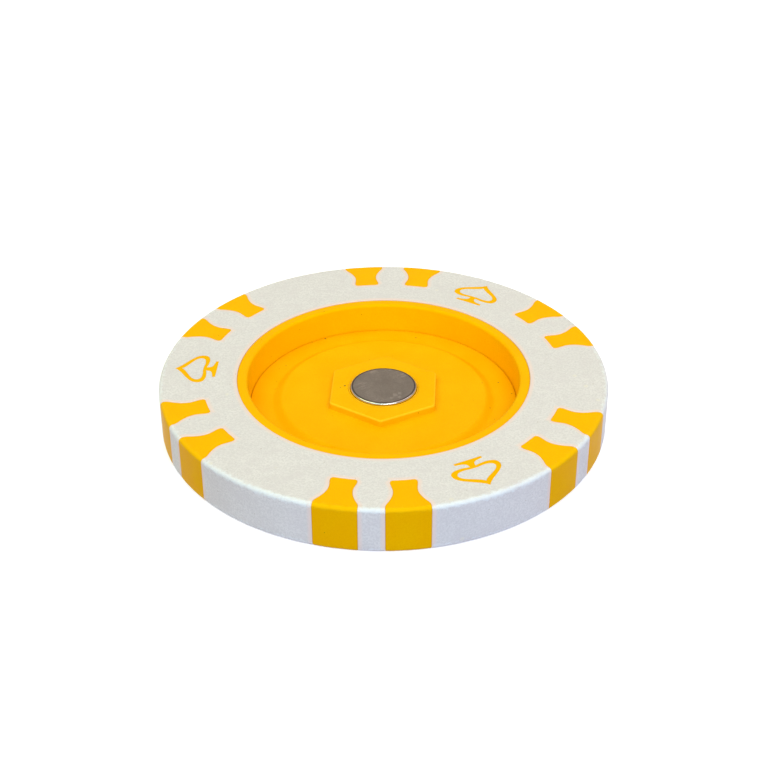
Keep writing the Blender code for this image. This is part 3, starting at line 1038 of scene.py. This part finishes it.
# The lights: name, place, size, power and colour. They all shine at the middle of the button.
LIGHTS = (
    ("front_right", (0.326, -0.699, 0.919), (0.7, 0.5), 5.0, (0.80, 0.96, 1.0)),
    ("front_left", (-0.326, -0.699, 0.919), (0.7, 0.5), 2.0, (0.58, 1.0, 0.95)),
    ("low_right", (0.624, -0.743, 0.242), (0.6, 0.25), 3.6, (0.34, 0.55, 1.0)),
    ("low_left", (-0.624, -0.743, 0.242), (0.6, 0.25), 1.8, (0.45, 0.65, 1.0)),
    ("left", (-0.5, 0.0, 0.866), (0.6, 0.6), 1.95, (0.95, 1.0, 0.44)),
    ("high_back", (0.11, 0.13, 0.30), (0.22, 0.22), 0.19, (1.0, 0.72, 0.70)),
)
SKY_BELOW = (0.27, 0.19, 0.24, 1.0)
SKY_ABOVE = (0.49, 0.45, 0.41, 1.0)
SKY_BLEND = 0.1


# The low lights are left out of reflections, where they would bleach the top in a low view.
MATT_LIGHTS = ("low_right", "low_left")


def add_lights():
    for name, place, size, power, colour in LIGHTS:
        light = add_area_light(name, place, (0.0, 0.0, TOP / 2), size, power, colour)
        light.visible_glossy = name not in MATT_LIGHTS
    world = bpy.data.worlds.new("studio")
    world.use_nodes = True
    tree = world.node_tree
    background = tree.nodes["Background"]
    height = tree.nodes.new("ShaderNodeSeparateXYZ")
    sky = tree.nodes.new("ShaderNodeMapRange")
    sky.inputs["From Min"].default_value = -SKY_BLEND
    sky.inputs["From Max"].default_value = SKY_BLEND
    blend = tree.nodes.new("ShaderNodeMix")
    blend.data_type = "RGBA"
    colours = [socket for socket in blend.inputs if socket.type == "RGBA"]
    colours[0].default_value = SKY_BELOW
    colours[1].default_value = SKY_ABOVE
    directions = tree.nodes.new("ShaderNodeTexCoord")
    tree.links.new(directions.outputs["Generated"], height.inputs[0])
    tree.links.new(height.outputs["Z"], sky.inputs["Value"])
    tree.links.new(sky.outputs[0], blend.inputs[0])
    mixed = next(socket for socket in blend.outputs if socket.type == "RGBA")
    tree.links.new(mixed, background.inputs["Color"])
    bpy.context.scene.world = world


# The camera, about the middle of the top face: how far round from -Y, how high, how far away and how
# it is turned about its own line of sight.
CAMERA_ROUND = math.radians(2.93)
CAMERA_HEIGHT = math.radians(32.62)
CAMERA_DISTANCE = 136.5 * MM
CAMERA_ROLL = math.radians(-0.27)
CAMERA_LENS = 71.55
CAMERA_SENSOR = 36.0
CAMERA_SHIFT_Y = -0.0139


def add_camera():
    data = bpy.data.cameras.new("camera")
    data.lens = CAMERA_LENS
    data.sensor_width = CAMERA_SENSOR
    data.shift_y = CAMERA_SHIFT_Y
    data.clip_start = 0.005
    data.clip_end = 10.0
    direction = math.radians(-90.0) + CAMERA_ROUND
    away = CAMERA_DISTANCE * math.cos(CAMERA_HEIGHT)
    place = Vector((away * math.cos(direction), away * math.sin(direction), 0.0))
    place.z = TOP + CAMERA_DISTANCE * math.sin(CAMERA_HEIGHT)
    camera = bpy.data.objects.new("camera", data)
    aim = (Vector((0.0, 0.0, TOP)) - place).to_track_quat("-Z", "Y").to_matrix().to_4x4()
    camera.matrix_world = Matrix.Translation(place) @ aim @ Matrix.Rotation(CAMERA_ROLL, 4, "Z")
    bpy.context.collection.objects.link(camera)
    bpy.context.scene.camera = camera


def place_piece(piece, node, material):
    piece.data.materials.append(material)
    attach(piece, "root")
    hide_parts(node)


def main():
    add_camera()
    add_lights()
    add_stage()
    deep = (1.0, 0.485, 0.0)
    core_yellow = yellow_plastic("yellow_core_fine", deep, (1.0, 0.515, 0.0), 0.40)
    floor_yellow = yellow_plastic("yellow_floor_fine", deep, (1.0, 0.515, 0.002), 0.45, FLOOR_MARKS)
    place_piece(make_white_rim(), "white_rim", white_plastic())
    place_piece(make_yellow_core(), "yellow_core", core_yellow)
    place_piece(make_floor_disc(), "floor_disc", floor_yellow)
    place_piece(make_magnet(), "disc_magnet", nickel())
    place_piece(make_adhesive(), "magnet_adhesive", adhesive())
    bpy.context.scene.view_settings.view_transform = "Standard"


main()
